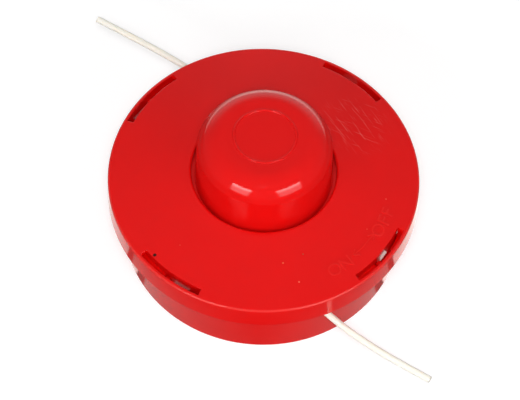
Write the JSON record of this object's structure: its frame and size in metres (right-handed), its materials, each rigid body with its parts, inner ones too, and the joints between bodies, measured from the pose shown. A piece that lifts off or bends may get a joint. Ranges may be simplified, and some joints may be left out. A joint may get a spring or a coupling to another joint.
{
  "type": "bump feed trimmer head",
  "caption": "Round bump feed line head for a brush cutter: twist-lock conical cover on a cup-shaped case, sprung bump knob on a line spool, and cut nylon line ends.",
  "frame": {"origin": "centre of the case's flat foot, which is the machine side", "axes": "+Z along the spin axis towards the bump knob; the two line ends leave towards -Y (front) and +Y (back)"},
  "size_m": [0.1245, 0.1485, 0.0594],
  "materials": {
    "red_plastic": "glossy injection-moulded red",
    "spool_plastic": "satin black moulded nylon",
    "nut_steel": "zinc-plated steel",
    "eyelet_metal": "bright turned aluminium",
    "spring_steel": "drawn spring wire",
    "nylon_line": "translucent off-white nylon monofilament"
  },
  "bodies": {
    "case": {"case": "red_plastic", "arbor_nut": "nut_steel", "eyelet_front": "eyelet_metal", "eyelet_back": "eyelet_metal", "spring": "spring_steel", "line_tail_front": "nylon_line", "line_tail_back": "nylon_line"},
    "cover": {"cover": "red_plastic"},
    "plunger": {"thrust_washer": "nut_steel"},
    "spool": {"spool": "spool_plastic", "line_winding_lower": "nylon_line", "line_winding_upper": "nylon_line", "knob": "red_plastic"}
  },
  "joints": [
    {"name": "cover_twist", "type": "hinge", "parent": "case", "child": "cover", "pos_m": [0, 0, 0.0274], "axis": [0, 0, 1], "range_deg": [0, 30]},
    {"name": "bump_slide", "type": "slide", "parent": "case", "child": "plunger", "axis": [0, 0, -1], "range_m": [0, 0.006], "stiffness_N_per_m": 1700, "springref_m": -0.01, "deforming": ["spring"]},
    {"name": "spool_turn", "type": "hinge", "parent": "plunger", "child": "spool", "pos_m": [0, 0, 0.0174], "axis": [0, 0, 1], "range_deg": [-20, 0]}
  ]
}
